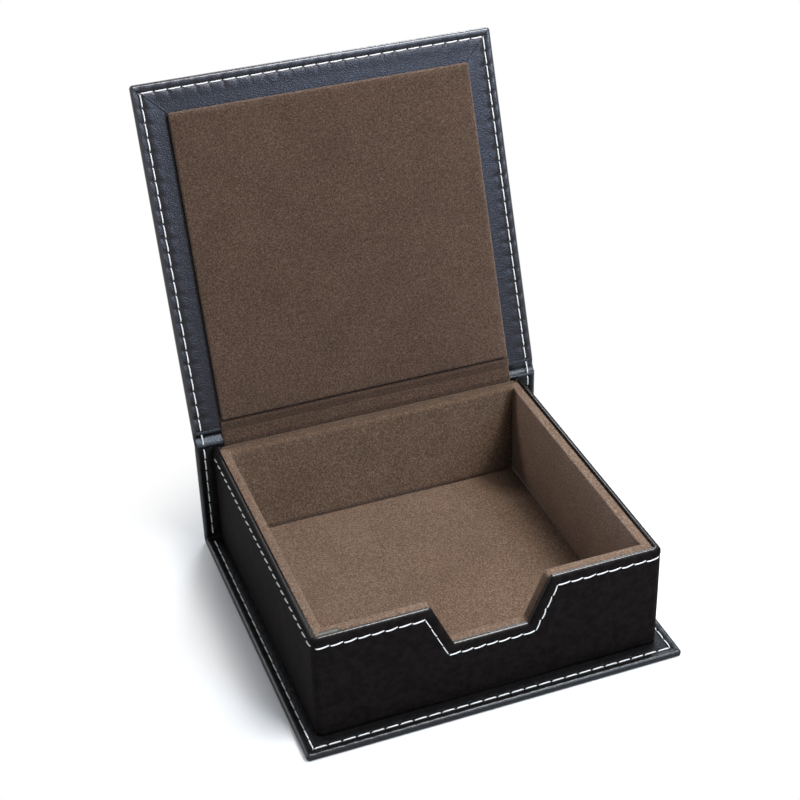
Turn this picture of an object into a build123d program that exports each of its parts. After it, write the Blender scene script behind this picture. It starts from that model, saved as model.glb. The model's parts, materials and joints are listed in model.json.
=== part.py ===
from build123d import *
import math
import os

# Memo box with a flip-up lid: an open tray glued into a book-style case.
# Millimetres. Origin at the centre of the case's underside, +Z up, the notched
# front towards -Y, the spine and the hinge towards +Y. The lid stands open.

# ---------------------------------------------------------------- driving sizes
# Case: one leather skin round a base board, a spine board and a lid board.
case_width = 130.0
case_depth = 121.0
case_board = 1.5
case_skin = 0.4
hem_round = 0.9            # rounding of the turned leather edge
fold_round = 2.0           # outer bend between base and spine
turn_in = 15.0             # leather turned over the boards' inner sides
base_tail = 0.6            # leather left between the base board and the spine board

# Tray: four thin board walls wrapped in leather.
tray_side_margin = 6.2     # base left showing at each side of the tray
tray_front_margin = 7.3    # base left showing in front of it
tray_height = 39.0         # rim above the base
tray_board = 1.0
tray_skin = 0.4
tray_corner = 2.0

# Notch in the front wall, for reaching the paper.
notch_top_width = 40.8
notch_floor_width = 25.8
notch_depth = 16.6

# Lining: card panels wrapped in velvet.
lining_thick = 3.1
velvet = 0.6
lining_drop = 0.4          # rim above the top of the lining
front_gap = 0.8            # front panel off the front wall
floor_card_thick = 1.5
lining_round = 0.5

# Lid pad: a velvet-wrapped card glued inside the lid.
pad_thick = 2.5
pad_border = 10.7          # leather left showing round the pad
pad_hinge_border = 3.0
pad_clearance = 0.3        # pad above the rim when the lid is shut
pad_round = 1.0

# Hinge: the skin between spine and lid, lined with velvet.
open_angle = 110.0         # lid away from shut, as it stands at rest
lid_setback = 0.3          # lid's back edge in from the spine's back, lid shut
lid_overhang = 0.4         # lid's front edge past the base, lid shut
fold_reach = 1.1           # from the lid's back edge to the fold
fold_depth = 0.8           # fold under the lid's outer face
hinge_leather = 1.0        # two skins glued together
hinge_lining_margin = 10.2

# Stitching: thread that shows as short raised dashes.
thread_width = 0.55
case_pitch = 4.85
tray_pitch = 4.3
dash_share = 0.8           # share of the pitch that the thread lies on top
case_inset = 3.0           # row in from the case's edges
rim_inset = 3.0            # row down from the rim and in from the notch

# ---------------------------------------------------------------- derived places
case_thick = case_board + 2 * case_skin
half_width = case_width / 2
front = -case_depth / 2
back = case_depth / 2
spine_face = back - case_thick

tray_half = half_width - tray_side_margin
tray_front = front + tray_front_margin
rim = case_thick + tray_height
wall = tray_board + tray_skin
room_half = tray_half - wall
room_front = tray_front + wall
room_back = spine_face - wall

floor_top = case_thick + floor_card_thick + velvet
lining_top = rim - lining_drop
back_wall_top = lining_top - velvet
front_panel_back = room_front + front_gap
front_panel_face = front_panel_back + lining_thick
back_panel_face = room_back - lining_thick
side_panel_face = room_half - lining_thick

lid_top = rim + pad_clearance + pad_thick + case_thick
lid_under = lid_top - case_thick
lid_back = back - lid_setback
lid_front = front - lid_overhang
hinge_y = lid_back + fold_reach
hinge_z = lid_top - fold_depth

lean = math.radians(open_angle)


def opened(y, z):
    """Place, with the lid at rest, of a point (y, z) of the shut lid."""
    dy = y - hinge_y
    dz = z - hinge_z
    return (hinge_y + dy * math.cos(lean) + dz * math.sin(lean),
            hinge_z - dy * math.sin(lean) + dz * math.cos(lean))


def open_lid(shape):
    """The shut lid's shape, turned about the fold to where it stands at rest."""
    fold = Axis((0, hinge_y, hinge_z), (-1, 0, 0))
    return shape.rotate(fold, open_angle)


# ---------------------------------------------------------------- shape helpers
def block(x0, x1, y0, y1, z0, z1):
    """Box between two opposite corners."""
    return Pos((x0 + x1) / 2, (y0 + y1) / 2, (z0 + z1) / 2) * Box(x1 - x0, y1 - y0, z1 - z0)


def across(points, half, rounds=()):
    """Outline of (y, z) points, extruded from -X to +X. rounds gives (y, z, radius)."""
    face = Plane.YZ * make_face(Polyline(*points, close=True))
    for y, z, radius in rounds:
        corner = face.vertices().sort_by_distance((0, y, z))[0]
        face = fillet(corner, radius)
    return extrude(face, half, dir=(1, 0, 0), both=True)


def end_edges(solid, half):
    """Edges that bound the two end faces at x = -half and x = +half."""
    ends = solid.faces().filter_by(Axis.X).filter_by(lambda f: abs(abs(f.center().X) - half) < 0.01)
    return ends.edges()


def save(name, shape):
    """One STEP file per node."""
    shape.label = name
    export_step(shape, os.path.join("parts", name + ".step"))


# ---------------------------------------------------------------- case boards
def base_board():
    edge = half_width - case_skin
    return block(-edge, edge, front + case_skin, spine_face - base_tail,
                 case_skin, case_skin + case_board)


def spine_board():
    edge = half_width - case_skin
    return block(-edge, edge, spine_face + case_skin, back - case_skin,
                 case_thick, rim - case_skin)


def shut_lid_board():
    edge = half_width - case_skin
    return block(-edge, edge, lid_front + case_skin, lid_back - case_skin,
                 lid_under + case_skin, lid_top - case_skin)


# ---------------------------------------------------------------- case skin
def base_and_spine():
    """The L of base and spine, boards and all, with its edges rounded."""
    outline = [(front, 0), (back, 0), (back, rim), (spine_face, rim),
               (spine_face, case_thick), (front, case_thick)]
    solid = across(outline, half_width, [(front, 0, hem_round), (front, case_thick, hem_round),
                                         (back, 0, fold_round)])
    edges = end_edges(solid, half_width).filter_by(lambda e: e.center().Z < rim - 0.01)
    return fillet(edges, hem_round)


def base_cover():
    """Leather under the base, round its edges and turned in on top."""
    slab = base_and_spine() & block(-case_width, case_width, 2 * front, 2 * back, 0, case_thick)
    inner = half_width - turn_in
    window = block(-inner, inner, front + turn_in, spine_face - turn_in,
                   case_skin, 2 * case_thick)
    return slab - base_board() - window


def spine_cover():
    """Leather up the back of the spine, turned in at its ends."""
    slab = base_and_spine() & block(-case_width, case_width, 0, 2 * back, case_thick, rim)
    inner = half_width - turn_in
    window = block(-inner, inner, spine_face - case_skin, spine_face + 2 * case_skin,
                   case_thick, rim - turn_in)
    return slab - spine_board() - window


def shut_lid_cover():
    """Leather over the lid, round three edges and turned in under the pad."""
    outline = [(lid_front, lid_under), (lid_back, lid_under),
               (lid_back, lid_top), (lid_front, lid_top)]
    slab = across(outline, half_width, [(lid_front, lid_under, hem_round),
                                        (lid_front, lid_top, hem_round)])
    edges = end_edges(slab, half_width).filter_by(lambda e: e.center().Y < lid_back - 0.01)
    slab = fillet(edges, hem_round)
    inner = half_width - turn_in
    window = block(-inner, inner, lid_front + turn_in, lid_back - turn_in,
                   lid_under - case_skin, lid_under + 2 * case_skin)
    return slab - shut_lid_board() - window


# ---------------------------------------------------------------- hinge
def hinge_cover():
    """The skin that bends: from the top of the spine to the lid's lower edge."""
    outer = opened(lid_back, lid_top)
    inner = opened(lid_back, lid_top - hinge_leather)
    outline = [(back, rim), outer, inner, (back - hinge_leather, rim)]
    return across(outline, half_width - hem_round)


def hinge_lining():
    """Velvet strip from the back of the tray to the lower edge of the lid pad."""
    outline = [(spine_face - velvet, lining_top), (spine_face, lining_top), (spine_face, rim),
               opened(lid_back, lid_under),
               opened(lid_back - pad_hinge_border, lid_under),
               opened(lid_back - pad_hinge_border, lid_under - velvet),
               opened(lid_back, lid_under - velvet),
               (spine_face - velvet, rim)]
    return across(outline, half_width - hinge_lining_margin)


# ---------------------------------------------------------------- tray
def notch(grow, y0, y1):
    """The front notch as a prism, with its sides and floor moved out by grow."""
    drop = notch_depth
    run = (notch_top_width - notch_floor_width) / 2
    slant = math.hypot(run, drop)
    # A side moved out by grow, square to itself, meets any level this much further out.
    shift = grow * slant / drop
    low = rim - drop - grow
    high = rim + drop
    top_x = notch_top_width / 2 + shift + run * (high - rim) / drop
    low_x = notch_floor_width / 2 + shift - run * grow / drop
    points = [(-low_x, low), (low_x, low), (top_x, high), (-top_x, high)]
    face = Plane.XZ * make_face(Polyline(*points, close=True))
    return Pos(0, y0, 0) * extrude(face, y1 - y0, dir=(0, 1, 0))


def tray_prism(inset, top):
    """The tray's outline with rounded corners, moved in by inset, up to a height."""
    depth = spine_face - tray_front
    outline = RectangleRounded(2 * (tray_half - inset), depth - 2 * inset, tray_corner - inset)
    middle = (spine_face + tray_front) / 2
    return Pos(0, middle, case_thick) * extrude(outline, top - case_thick)


def wall_boards():
    """The four walls: front and back run full width, the sides stand between them."""
    body = tray_prism(tray_skin, rim - tray_skin)
    edge = tray_half
    boards = {
        "front_wall_board": block(-edge, edge, tray_front, room_front, case_thick, rim),
        "back_wall_board": block(-edge, edge, room_back, spine_face,
                                 case_thick, back_wall_top - tray_skin),
        "left_wall_board": block(-edge, -room_half, room_front, room_back, case_thick, rim),
        "right_wall_board": block(room_half, edge, room_front, room_back, case_thick, rim),
    }
    cut = {name: body & board for name, board in boards.items()}
    cut["front_wall_board"] -= notch(tray_skin, tray_front - wall, room_front + wall)
    return cut


def tray_cover(boards):
    """Leather round the outside of the walls, over the rim and through the notch."""
    ring = tray_prism(0, rim)
    ring -= block(-room_half, room_half, room_front, room_back, case_thick, rim)
    # Over the back wall the rim is lower, because the back panel's velvet covers it.
    ring -= block(-room_half, room_half, room_back, spine_face, back_wall_top, rim)
    ring -= notch(0, tray_front - wall, room_front + wall)
    for board in boards.values():
        ring -= board
    return ring


# ---------------------------------------------------------------- lining
def rounded_top(panel, toward, level):
    """Rounds a panel's long top edge on the side of the room."""
    edges = panel.edges().filter_by(lambda e: abs(e.center().Z - level) < 0.01)
    return fillet(edges.sort_by(toward)[-1], lining_round)


def floor_panel():
    outer = block(-room_half, room_half, room_front, room_back, case_thick, floor_top)
    card = block(velvet - room_half, room_half - velvet, room_front + velvet,
                 room_back - velvet, case_thick, floor_top - velvet)
    return card, outer - card


def front_panel():
    outer = block(-room_half, room_half, front_panel_back, front_panel_face,
                  floor_top, lining_top)
    outer = rounded_top(outer, Axis.Y, lining_top)
    outer -= notch(0, tray_front, front_panel_face + wall)
    card = block(velvet - room_half, room_half - velvet, front_panel_back,
                 front_panel_face - velvet, floor_top + velvet, lining_top - velvet)
    card -= notch(velvet, tray_front, front_panel_face + wall)
    return card, outer - card


def back_panel():
    outer = block(-room_half, room_half, back_panel_face, room_back, floor_top, lining_top)
    outer = rounded_top(outer, -Axis.Y, lining_top)
    outer += block(-room_half, room_half, room_back, spine_face, back_wall_top, lining_top)
    card = block(velvet - room_half, room_half - velvet, back_panel_face + velvet,
                 room_back, floor_top + velvet, lining_top - velvet)
    return card, outer - card


def side_panel(side):
    """side is -1 for the left panel and +1 for the right one."""
    x0, x1 = sorted((side * side_panel_face, side * room_half))
    outer = block(x0, x1, front_panel_face, back_panel_face, floor_top, lining_top)
    outer = rounded_top(outer, Axis.X if side < 0 else -Axis.X, lining_top)
    c0, c1 = sorted((side * (side_panel_face + velvet), side * room_half))
    card = block(c0, c1, front_panel_face + velvet, back_panel_face - velvet,
                 floor_top + velvet, lining_top - velvet)
    return card, outer - card


def shut_lid_pad():
    """Card and velvet of the pad under the shut lid."""
    low = lid_under - pad_thick
    y0 = lid_front + pad_border
    y1 = lid_back - pad_hinge_border
    edge = half_width - pad_border
    outer = block(-edge, edge, y0, y1, low, lid_under)
    outer = fillet(outer.edges().filter_by(Axis.Z), pad_round)
    outer = fillet(outer.faces().sort_by(Axis.Z)[0].edges(), pad_round)
    card = block(velvet - edge, edge - velvet, y0 + velvet, y1 - velvet,
                 low + velvet, lid_under)
    card = fillet(card.edges().filter_by(Axis.Z), pad_round - velvet / 2)
    return card, outer - card


# ---------------------------------------------------------------- stitching
def stitch_row(start, end, normal, pitch):
    """Dashes of thread in a line, each half sunk so that its flat side lies on the leather."""
    start = Vector(start)
    run = Vector(end) - start
    count = max(1, round(run.length / pitch))
    step = run.length / count
    dash = Cylinder(thread_width / 2, step * dash_share, rotation=(0, 90, 0))
    dash = dash & Pos(0, 0, thread_width / 2) * Box(step, thread_width, thread_width)
    row = []
    for index in range(count):
        middle = start + run * ((index + 0.5) / count)
        row.append(Plane(middle, x_dir=run, z_dir=normal) * dash)
    return row


def group(rows):
    """Many separate dashes as one node."""
    solids = [solid for row in rows for shape in row for solid in shape.solids()]
    return Compound(solids)


def base_stitching():
    x = half_width - case_inset
    y0 = front + case_inset
    y1 = spine_face - case_inset / 2
    z = case_thick
    up = (0, 0, 1)
    return group([stitch_row((-x, y1, z), (-x, y0, z), up, case_pitch),
                  stitch_row((-x, y0, z), (x, y0, z), up, case_pitch),
                  stitch_row((x, y0, z), (x, y1, z), up, case_pitch)])


def spine_stitching():
    x = half_width - case_inset
    z0 = case_thick + case_inset / 2
    rows = []
    for side in (-x, x):
        rows.append(stitch_row((side, spine_face, z0), (side, spine_face, rim), (0, -1, 0), case_pitch))
        rows.append(stitch_row((side, back, z0), (side, back, rim), (0, 1, 0), case_pitch))
    return group(rows)


def hinge_stitching():
    x = half_width - case_inset
    top_out = opened(lid_back, lid_top)
    top_in = opened(lid_back, lid_top - hinge_leather)
    rows = []
    for side in (-x, x):
        for low_y, top, sign in ((back, top_out, 1), (back - hinge_leather, top_in, -1)):
            run_y = top[0] - low_y
            run_z = top[1] - rim
            normal = (0, sign * run_z, -sign * run_y)
            rows.append(stitch_row((side, low_y, rim), (side, *top), normal, case_pitch))
    return group(rows)


def shut_lid_stitching():
    x = half_width - case_inset
    y0 = lid_front + case_inset
    rows = []
    for z, up in ((lid_under, (0, 0, -1)), (lid_top, (0, 0, 1))):
        rows.append(stitch_row((-x, lid_back, z), (-x, y0, z), up, case_pitch))
        rows.append(stitch_row((-x, y0, z), (x, y0, z), up, case_pitch))
        rows.append(stitch_row((x, y0, z), (x, lid_back, z), up, case_pitch))
    return group(rows)


def tray_stitching():
    """A row below the rim, round three sides, that dips round the notch."""
    z = rim - rim_inset
    run = (notch_top_width - notch_floor_width) / 2
    shift = rim_inset * math.hypot(run, notch_depth) / notch_depth
    floor_z = rim - notch_depth - rim_inset
    top_x = notch_top_width / 2 + shift - run * rim_inset / notch_depth
    low_x = notch_floor_width / 2 + shift - run * rim_inset / notch_depth
    end_x = tray_half - tray_corner / 2
    end_y = tray_front + tray_corner / 2
    far_y = spine_face - tray_corner
    path = [(-end_x, z), (-top_x, z), (-low_x, floor_z), (low_x, floor_z), (top_x, z), (end_x, z)]
    rows = [stitch_row((-tray_half, far_y, z), (-tray_half, end_y, z), (-1, 0, 0), tray_pitch)]
    for (xa, za), (xb, zb) in zip(path, path[1:]):
        rows.append(stitch_row((xa, tray_front, za), (xb, tray_front, zb), (0, -1, 0), tray_pitch))
    rows.append(stitch_row((tray_half, end_y, z), (tray_half, far_y, z), (1, 0, 0), tray_pitch))
    return group(rows)


# ---------------------------------------------------------------- write the nodes
def main():
    os.makedirs("parts", exist_ok=True)

    save("base_board", base_board())
    save("base_cover", base_cover())
    save("base_stitching", base_stitching())
    save("spine_board", spine_board())
    save("spine_cover", spine_cover())
    save("spine_stitching", spine_stitching())

    save("hinge_cover", hinge_cover())
    save("hinge_lining", hinge_lining())
    save("hinge_stitching", hinge_stitching())

    boards = wall_boards()
    for name, board in boards.items():
        save(name, board)
    save("tray_cover", tray_cover(boards))
    save("tray_stitching", tray_stitching())

    panels = {"floor": floor_panel(), "front_lining": front_panel(), "back_lining": back_panel(),
              "left_lining": side_panel(-1), "right_lining": side_panel(1)}
    for name, (card, cloth) in panels.items():
        save(name + "_card", card)
        save(name + "_velvet", cloth)

    save("lid_board", open_lid(shut_lid_board()))
    save("lid_cover", open_lid(shut_lid_cover()))
    save("lid_stitching", open_lid(shut_lid_stitching()))
    pad_card, pad_cloth = shut_lid_pad()
    save("lid_pad_card", open_lid(pad_card))
    save("lid_pad_velvet", open_lid(pad_cloth))


main()
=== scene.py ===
# Memo box with a flip-up lid: the finish of every surface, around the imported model.
# Metres, in the model's own frame: +Z up, the notched front towards -Y, the lid standing open.
import json
import math
import bpy
import numpy as np
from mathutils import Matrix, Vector


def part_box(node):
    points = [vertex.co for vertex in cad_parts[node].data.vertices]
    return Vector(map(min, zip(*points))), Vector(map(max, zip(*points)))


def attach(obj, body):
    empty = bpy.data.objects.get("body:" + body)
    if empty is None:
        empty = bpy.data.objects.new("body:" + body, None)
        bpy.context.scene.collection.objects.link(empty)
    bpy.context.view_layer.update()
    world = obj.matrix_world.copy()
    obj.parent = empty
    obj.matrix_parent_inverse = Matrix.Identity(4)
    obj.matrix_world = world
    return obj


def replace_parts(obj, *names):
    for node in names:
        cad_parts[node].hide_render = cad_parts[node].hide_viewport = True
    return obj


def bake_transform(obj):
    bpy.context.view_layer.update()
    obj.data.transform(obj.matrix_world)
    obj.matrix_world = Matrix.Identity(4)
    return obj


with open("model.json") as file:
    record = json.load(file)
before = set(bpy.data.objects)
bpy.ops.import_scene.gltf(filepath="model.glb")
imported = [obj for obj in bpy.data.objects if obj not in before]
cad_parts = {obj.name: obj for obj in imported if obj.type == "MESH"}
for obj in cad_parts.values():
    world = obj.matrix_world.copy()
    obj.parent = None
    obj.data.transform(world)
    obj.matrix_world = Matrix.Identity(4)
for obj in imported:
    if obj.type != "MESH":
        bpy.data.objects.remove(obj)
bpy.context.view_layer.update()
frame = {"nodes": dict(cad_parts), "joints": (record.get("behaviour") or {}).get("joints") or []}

mm = 0.001


# ---------------------------------------------------------------- view, table top and light
# The box stands on a plain pale table top in a white room. A soft lamp hangs over it, one stands
# in front of it and two stand behind it, which the leather mirrors.
def lamp(name, place, aim, size, power, colour=(1.0, 1.0, 1.0)):
    """A flat rectangular lamp of a size (width, height) at a place, facing the aim."""
    data = bpy.data.lights.new(name, "AREA")
    data.shape = "RECTANGLE"
    data.size, data.size_y = size
    data.energy = power
    data.color = colour
    item = bpy.data.objects.new(name, data)
    item.location = place
    item.rotation_euler = (Vector(aim) - Vector(place)).to_track_quat("-Z", "Y").to_euler()
    bpy.context.scene.collection.objects.link(item)


def feed(node, inputs):
    """Give a node its inputs by name or number: a value, another node's output, or None to leave
    an input as it is."""
    for key, value in inputs.items():
        if isinstance(value, bpy.types.NodeSocket):
            node.id_data.links.new(value, node.inputs[key])
        elif value is not None:
            node.inputs[key].default_value = value


def add_node(tree, kind, inputs, **settings):
    """A new shader node of a kind, with its settings and its inputs."""
    node = tree.nodes.new("ShaderNode" + kind)
    for key, value in settings.items():
        setattr(node, key, value)
    feed(node, inputs)
    return node


def calculated(tree, operation, *values):
    """The result of a math operation on values or other nodes' outputs."""
    return add_node(tree, "Math", dict(enumerate(values)), operation=operation).outputs[0]


def white_to_the_eye(tree):
    """1 for rays from the eye, mirrors and glass, and 0 for the rays that light things."""
    path = add_node(tree, "LightPath", {}).outputs
    bent = calculated(tree, "MAXIMUM", path["Is Glossy Ray"], path["Is Transmission Ray"])
    return calculated(tree, "MAXIMUM", path["Is Camera Ray"], bent)


def finish(name):
    """A new material: its tree, its shader and the object's coordinates."""
    material = bpy.data.materials.new(name)
    material.use_nodes = True
    tree = material.node_tree
    coordinate = add_node(tree, "TexCoord", {}).outputs["Object"]
    return material, tree, tree.nodes["Principled BSDF"], coordinate


scene = bpy.context.scene
scene.view_settings.view_transform = "Standard"

eye = bpy.data.cameras.new("eye")
eye.sensor_width = 36.0
eye.lens = 77.714
camera = bpy.data.objects.new("eye", eye)
camera.location = (-0.16476, -0.43492, 0.38419)
camera.rotation_euler = [math.radians(angle) for angle in (56.917, 1.491, -20.637)]
scene.collection.objects.link(camera)
scene.camera = camera

box_middle = (0.0, 0.0, 0.05)
lamp("over", (0.27, -0.30, 0.82), box_middle, (0.36, 0.36), 8.8)
lamp("front", (0.54, -1.10, 0.65), (0.0, 0.09, 0.10), (0.34, 0.26), 5.8, (0.62, 0.80, 1.0))
lamp("behind", (0.50, 0.95, 0.85), box_middle, (0.42, 0.36), 9.0, (0.84, 0.92, 1.0))
lamp("window", (-0.80, 0.95, 0.70), box_middle, (0.50, 0.50), 2.6, (0.90, 0.95, 1.0))

room = bpy.data.worlds.new("room")
scene.world = room
room.use_nodes = True
room_mix = add_node(room.node_tree, "Mix", {
    "Factor": white_to_the_eye(room.node_tree), "A": (0.30, 0.31, 0.33, 1.0),
    "B": (1.0, 1.0, 1.0, 1.0)}, data_type="RGBA")
feed(room.node_tree.nodes["Background"], {"Color": room_mix.outputs["Result"]})

table_half = 4.0
table_drop = 0.05 * mm
table_mesh = bpy.data.meshes.new("table_top")
table_corners = [(-table_half, -table_half), (table_half, -table_half),
                 (table_half, table_half), (-table_half, table_half)]
table_mesh.from_pydata([(x, y, -table_drop) for x, y in table_corners], [], [(0, 1, 2, 3)])
table_top = bpy.data.objects.new("table_top", table_mesh)
scene.collection.objects.link(table_top)

paint, tree, surface, spot = finish("pale_table")
feed(surface, {"Base Color": (0.86, 0.86, 0.86, 1.0), "Roughness": 1.0, "Specular IOR Level": 0.0})
fade_near, fade_far = 0.07, 0.13          # from the box's middle, where the table turns white
away = add_node(tree, "VectorMath", {0: spot}, operation="LENGTH").outputs["Value"]
fade = add_node(tree, "MapRange", {"Value": away, "From Min": fade_near, "From Max": fade_far},
                interpolation_type="SMOOTHSTEP").outputs["Result"]
glow = add_node(tree, "Emission", {}).outputs[0]
mixed = add_node(tree, "MixShader", {
    "Fac": calculated(tree, "MULTIPLY", fade, white_to_the_eye(tree)),
    1: surface.outputs[0], 2: glow}).outputs[0]
feed(tree.nodes["Material Output"], {"Surface": mixed})
table_mesh.materials.append(paint)


# ---------------------------------------------------------------- boards and cards
# Grey bookbinding board under all the leather, and thinner card under the velvet. It is pressed
# from waste paper, so it is a dull grey brown with short fibres, and shows at a raw edge only.
def speckle(tree, coordinate, size, detail=2.0):
    """Noise with lumps of a size, read at the object's own coordinates."""
    return add_node(tree, "TexNoise", {"Scale": 1.0 / size, "Detail": detail,
                                       "Vector": coordinate}).outputs["Fac"]


def ramp(tree, value, stops, shade=1.0):
    """Colours at places along a value from 0 to 1, each multiplied by a shade."""
    node = add_node(tree, "ValToRGB", {"Fac": value})
    stops = [(place, (*np.multiply(colour, shade).tolist(), 1.0)) for place, colour in stops]
    elements = node.color_ramp.elements
    for element, stop in zip(elements, (stops[0], stops[-1])):
        element.position, element.color = stop
    for place, colour in stops[1:-1]:
        elements.new(place).color = colour
    return node.outputs["Color"]


def span(tree, value, low, high):
    """A value from 0 to 1 moved onto the span from low to high."""
    return add_node(tree, "MapRange", {"Value": value, "To Min": low,
                                       "To Max": high}).outputs["Result"]


def bump(tree, height, depth, strength, under=None):
    """Normals of a relief whose height runs from 0 to 1 over a depth, on top of another one."""
    return add_node(tree, "Bump", {"Height": height, "Distance": depth, "Strength": strength,
                                   "Normal": under}).outputs["Normal"]


greyboard, tree, surface, coordinate = finish("greyboard")
fibre = speckle(tree, coordinate, 0.5 * mm, 4.0)
feed(surface, {
    "Base Color": ramp(tree, fibre, [(0.3, (0.11, 0.11, 0.10)), (0.7, (0.20, 0.195, 0.18))]),
    "Normal": bump(tree, fibre, 0.1 * mm, 0.5), "Roughness": 0.95, "Specular IOR Level": 0.2})

for name, node in frame["nodes"].items():
    if name.endswith(("_board", "_card")):
        node.data.materials.clear()
        node.data.materials.append(greyboard)


# ---------------------------------------------------------------- leather of base and spine
# One sheet of near-black synthetic leather goes under the base board and up the spine board. Its
# edges are folded round the boards, mitred at the front corners, glued down and sewn through.
def black_leather(name, shine, grain, rough, tint=(0.76, 0.86, 1.0), dye=0.6):
    """Grained leather of a specular level and a roughness, whose pebbles stand out by grain; dye is
    how much light it gives back. Its point attribute is 1 where an edge is rubbed smooth, which
    gives it a glossy coat."""
    material, tree, surface, coordinate = finish(name)
    pebble = add_node(tree, "TexVoronoi", {"Scale": 1.0 / (0.45 * mm), "Smoothness": 0.6,
                                           "Vector": coordinate}, feature="SMOOTH_F1")
    pebble = pebble.outputs["Distance"]
    crease = speckle(tree, coordinate, 2.2 * mm, 4.0)
    patch = speckle(tree, coordinate, 9.0 * mm)
    rubbed = add_node(tree, "Attribute", {}, attribute_name="polish_and_painted_light").outputs["Fac"]
    feed(surface, {
        "Base Color": ramp(tree, crease, [(0.35, (0.0045, 0.0036, 0.0036)),
                                          (0.65, (0.0085, 0.0070, 0.0070))], dye),
        "Roughness": span(tree, patch, rough - 0.06, rough + 0.06),
        "Specular IOR Level": shine, "Specular Tint": (*tint, 1.0),
        "Normal": bump(tree, pebble, grain, 0.9, bump(tree, crease, 0.9 * grain, 0.5)),
        "Coat Weight": calculated(tree, "MULTIPLY", rubbed, span(tree, pebble, 1.3, 0.5)),
        "Coat Roughness": 0.22})
    return material


leather = black_leather("black_leather", 0.17, 0.18 * mm, 0.42)


def runs_of(corners):
    """Direction and length of each straight run of a line, and how far it turns at each corner:
    above 0 to the left."""
    runs = np.diff(np.asarray(corners, float), axis=0)
    lengths = np.hypot(runs[:, 0], runs[:, 1])
    ahead = runs / lengths[:, None]
    turn = np.zeros(len(corners))
    turn[1:-1] = np.arctan2(ahead[:-1, 0] * ahead[1:, 1] - ahead[:-1, 1] * ahead[1:, 0],
                            (ahead[:-1] * ahead[1:]).sum(1))
    return ahead, lengths, turn


def rounded_line(corners, radii, spots):
    """A line through corners, each rounded by its radius, read at spots: spot 1.25 is a quarter
    along the second run. A spot nearer to a corner than where its arc begins goes onto the arc,
    at the same share of the way. Gives the points and the directions of the line there."""
    corners, radii, spots = (np.asarray(item, float) for item in (corners, radii, spots))
    ahead, lengths, turn = runs_of(corners)
    reach = radii * np.tan(np.abs(turn) / 2)
    run = np.clip(spots.astype(int), 0, len(lengths) - 1)
    gone = (spots - run) * lengths[run]
    along = ahead[run]
    points = corners[run] + gone[:, None] * along
    directions = along.copy()
    for end, distance, sense in ((0, gone, 1.0), (1, lengths[run] - gone, -1.0)):
        corner = run + end
        on_arc = (distance < reach[corner]) & (reach[corner] > 0)
        place, way = corner[on_arc], along[on_arc]
        side = np.sign(turn[place])[:, None] * np.stack([-way[:, 1], way[:, 0]], -1)
        radius = radii[place][:, None]
        angle = np.abs(turn[place])[:, None] / 2 * (1 - distance[on_arc] / reach[place])[:, None]
        tangent_point = corners[place] + sense * reach[place][:, None] * way
        points[on_arc] = (tangent_point + radius * side * (1 - np.cos(angle))
                          - sense * radius * np.sin(angle) * way)
        directions[on_arc] = np.cos(angle) * way - sense * np.sin(angle) * side
    return points, directions


def moved_left(corners, distance):
    """Corners of the line that runs at a distance to the left of a line of straight runs."""
    ahead = runs_of(corners)[0]
    left = np.stack([-ahead[:, 1], ahead[:, 0]], -1)
    before, after = np.vstack([left[:1], left]), np.vstack([left, left[-1:]])
    share = 1 + (before * after).sum(1)
    return np.asarray(corners, float) + distance * (before + after) / share[:, None]


def lines_beside(corners, radii, spots, shifts):
    """Lines at shifts to the left of a line, or to its right where below 0, read at spots. Each
    rounded corner keeps its centre, so its radius shrinks with a shift towards that."""
    side = np.sign(runs_of(corners)[2])
    return np.array([rounded_line(moved_left(corners, shift), np.maximum(radii - side * shift, 0),
                                  spots)[0] for shift in shifts])


def spots_along(corners, spacing, steps=1):
    """Spots along a line: about one spacing apart, and close together beside each corner. Each
    run gets a multiple of steps of them."""
    close = np.array([0, 0.12, 0.3, 0.55, 0.85, 1.2, 1.6, 2.1]) * mm
    lengths = runs_of(corners)[1]
    spots = []
    for number, length in enumerate(lengths):
        ends = close[close < length * 0.45]
        middle = max(1, round((length - 2 * ends[-1]) / spacing))
        middle += -(middle + 2 * (len(ends) - 1)) % steps
        between = np.linspace(ends[-1], length - ends[-1], middle + 1)[1:-1]
        places = np.concatenate([ends, between, length - ends[::-1]])[:-1]
        spots.append(number + places / length)
    return np.append(np.concatenate(spots), len(lengths))


def quads(rows, columns, closed=False):
    """Faces of a grid of rows and columns of points, joined end to end if it is closed."""
    across = np.arange(columns if closed else columns - 1)
    down = np.arange(rows - 1)[:, None] * columns
    after = (across + 1) % columns
    return np.stack([down + across, down + after, down + columns + after, down + columns + across],
                    -1).reshape(-1, 4)


def add_piece(name, points, faces, material, wall=0.0, polish_and_painted_light=None):
    """A mesh of points and groups of faces, smooth but for caps of many sides. wall thickens a
    sheet inwards, and the last argument gives each point an attribute: how much a leather point has
    been rubbed, and the painted light or shade of a velvet point."""
    mesh = bpy.data.meshes.new(name)
    groups = faces if isinstance(faces, list) else [faces]
    mesh.from_pydata(points.reshape(-1, 3).tolist(), [],
                     [face for group in groups for face in group.tolist()])
    sides = np.empty(len(mesh.polygons), int)
    mesh.polygons.foreach_get("loop_total", sides)
    mesh.polygons.foreach_set("use_smooth", sides < 8)
    mesh.materials.append(material)
    if polish_and_painted_light is not None:
        mesh.attributes.new("polish_and_painted_light", "FLOAT", "POINT").data.foreach_set("value", polish_and_painted_light.ravel())
    mesh.update()
    piece = bpy.data.objects.new(name, mesh)
    scene.collection.objects.link(piece)
    if wall:
        solid = piece.modifiers.new("wall", "SOLIDIFY")
        solid.thickness = wall
        solid.offset = -1.0
    return piece


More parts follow.
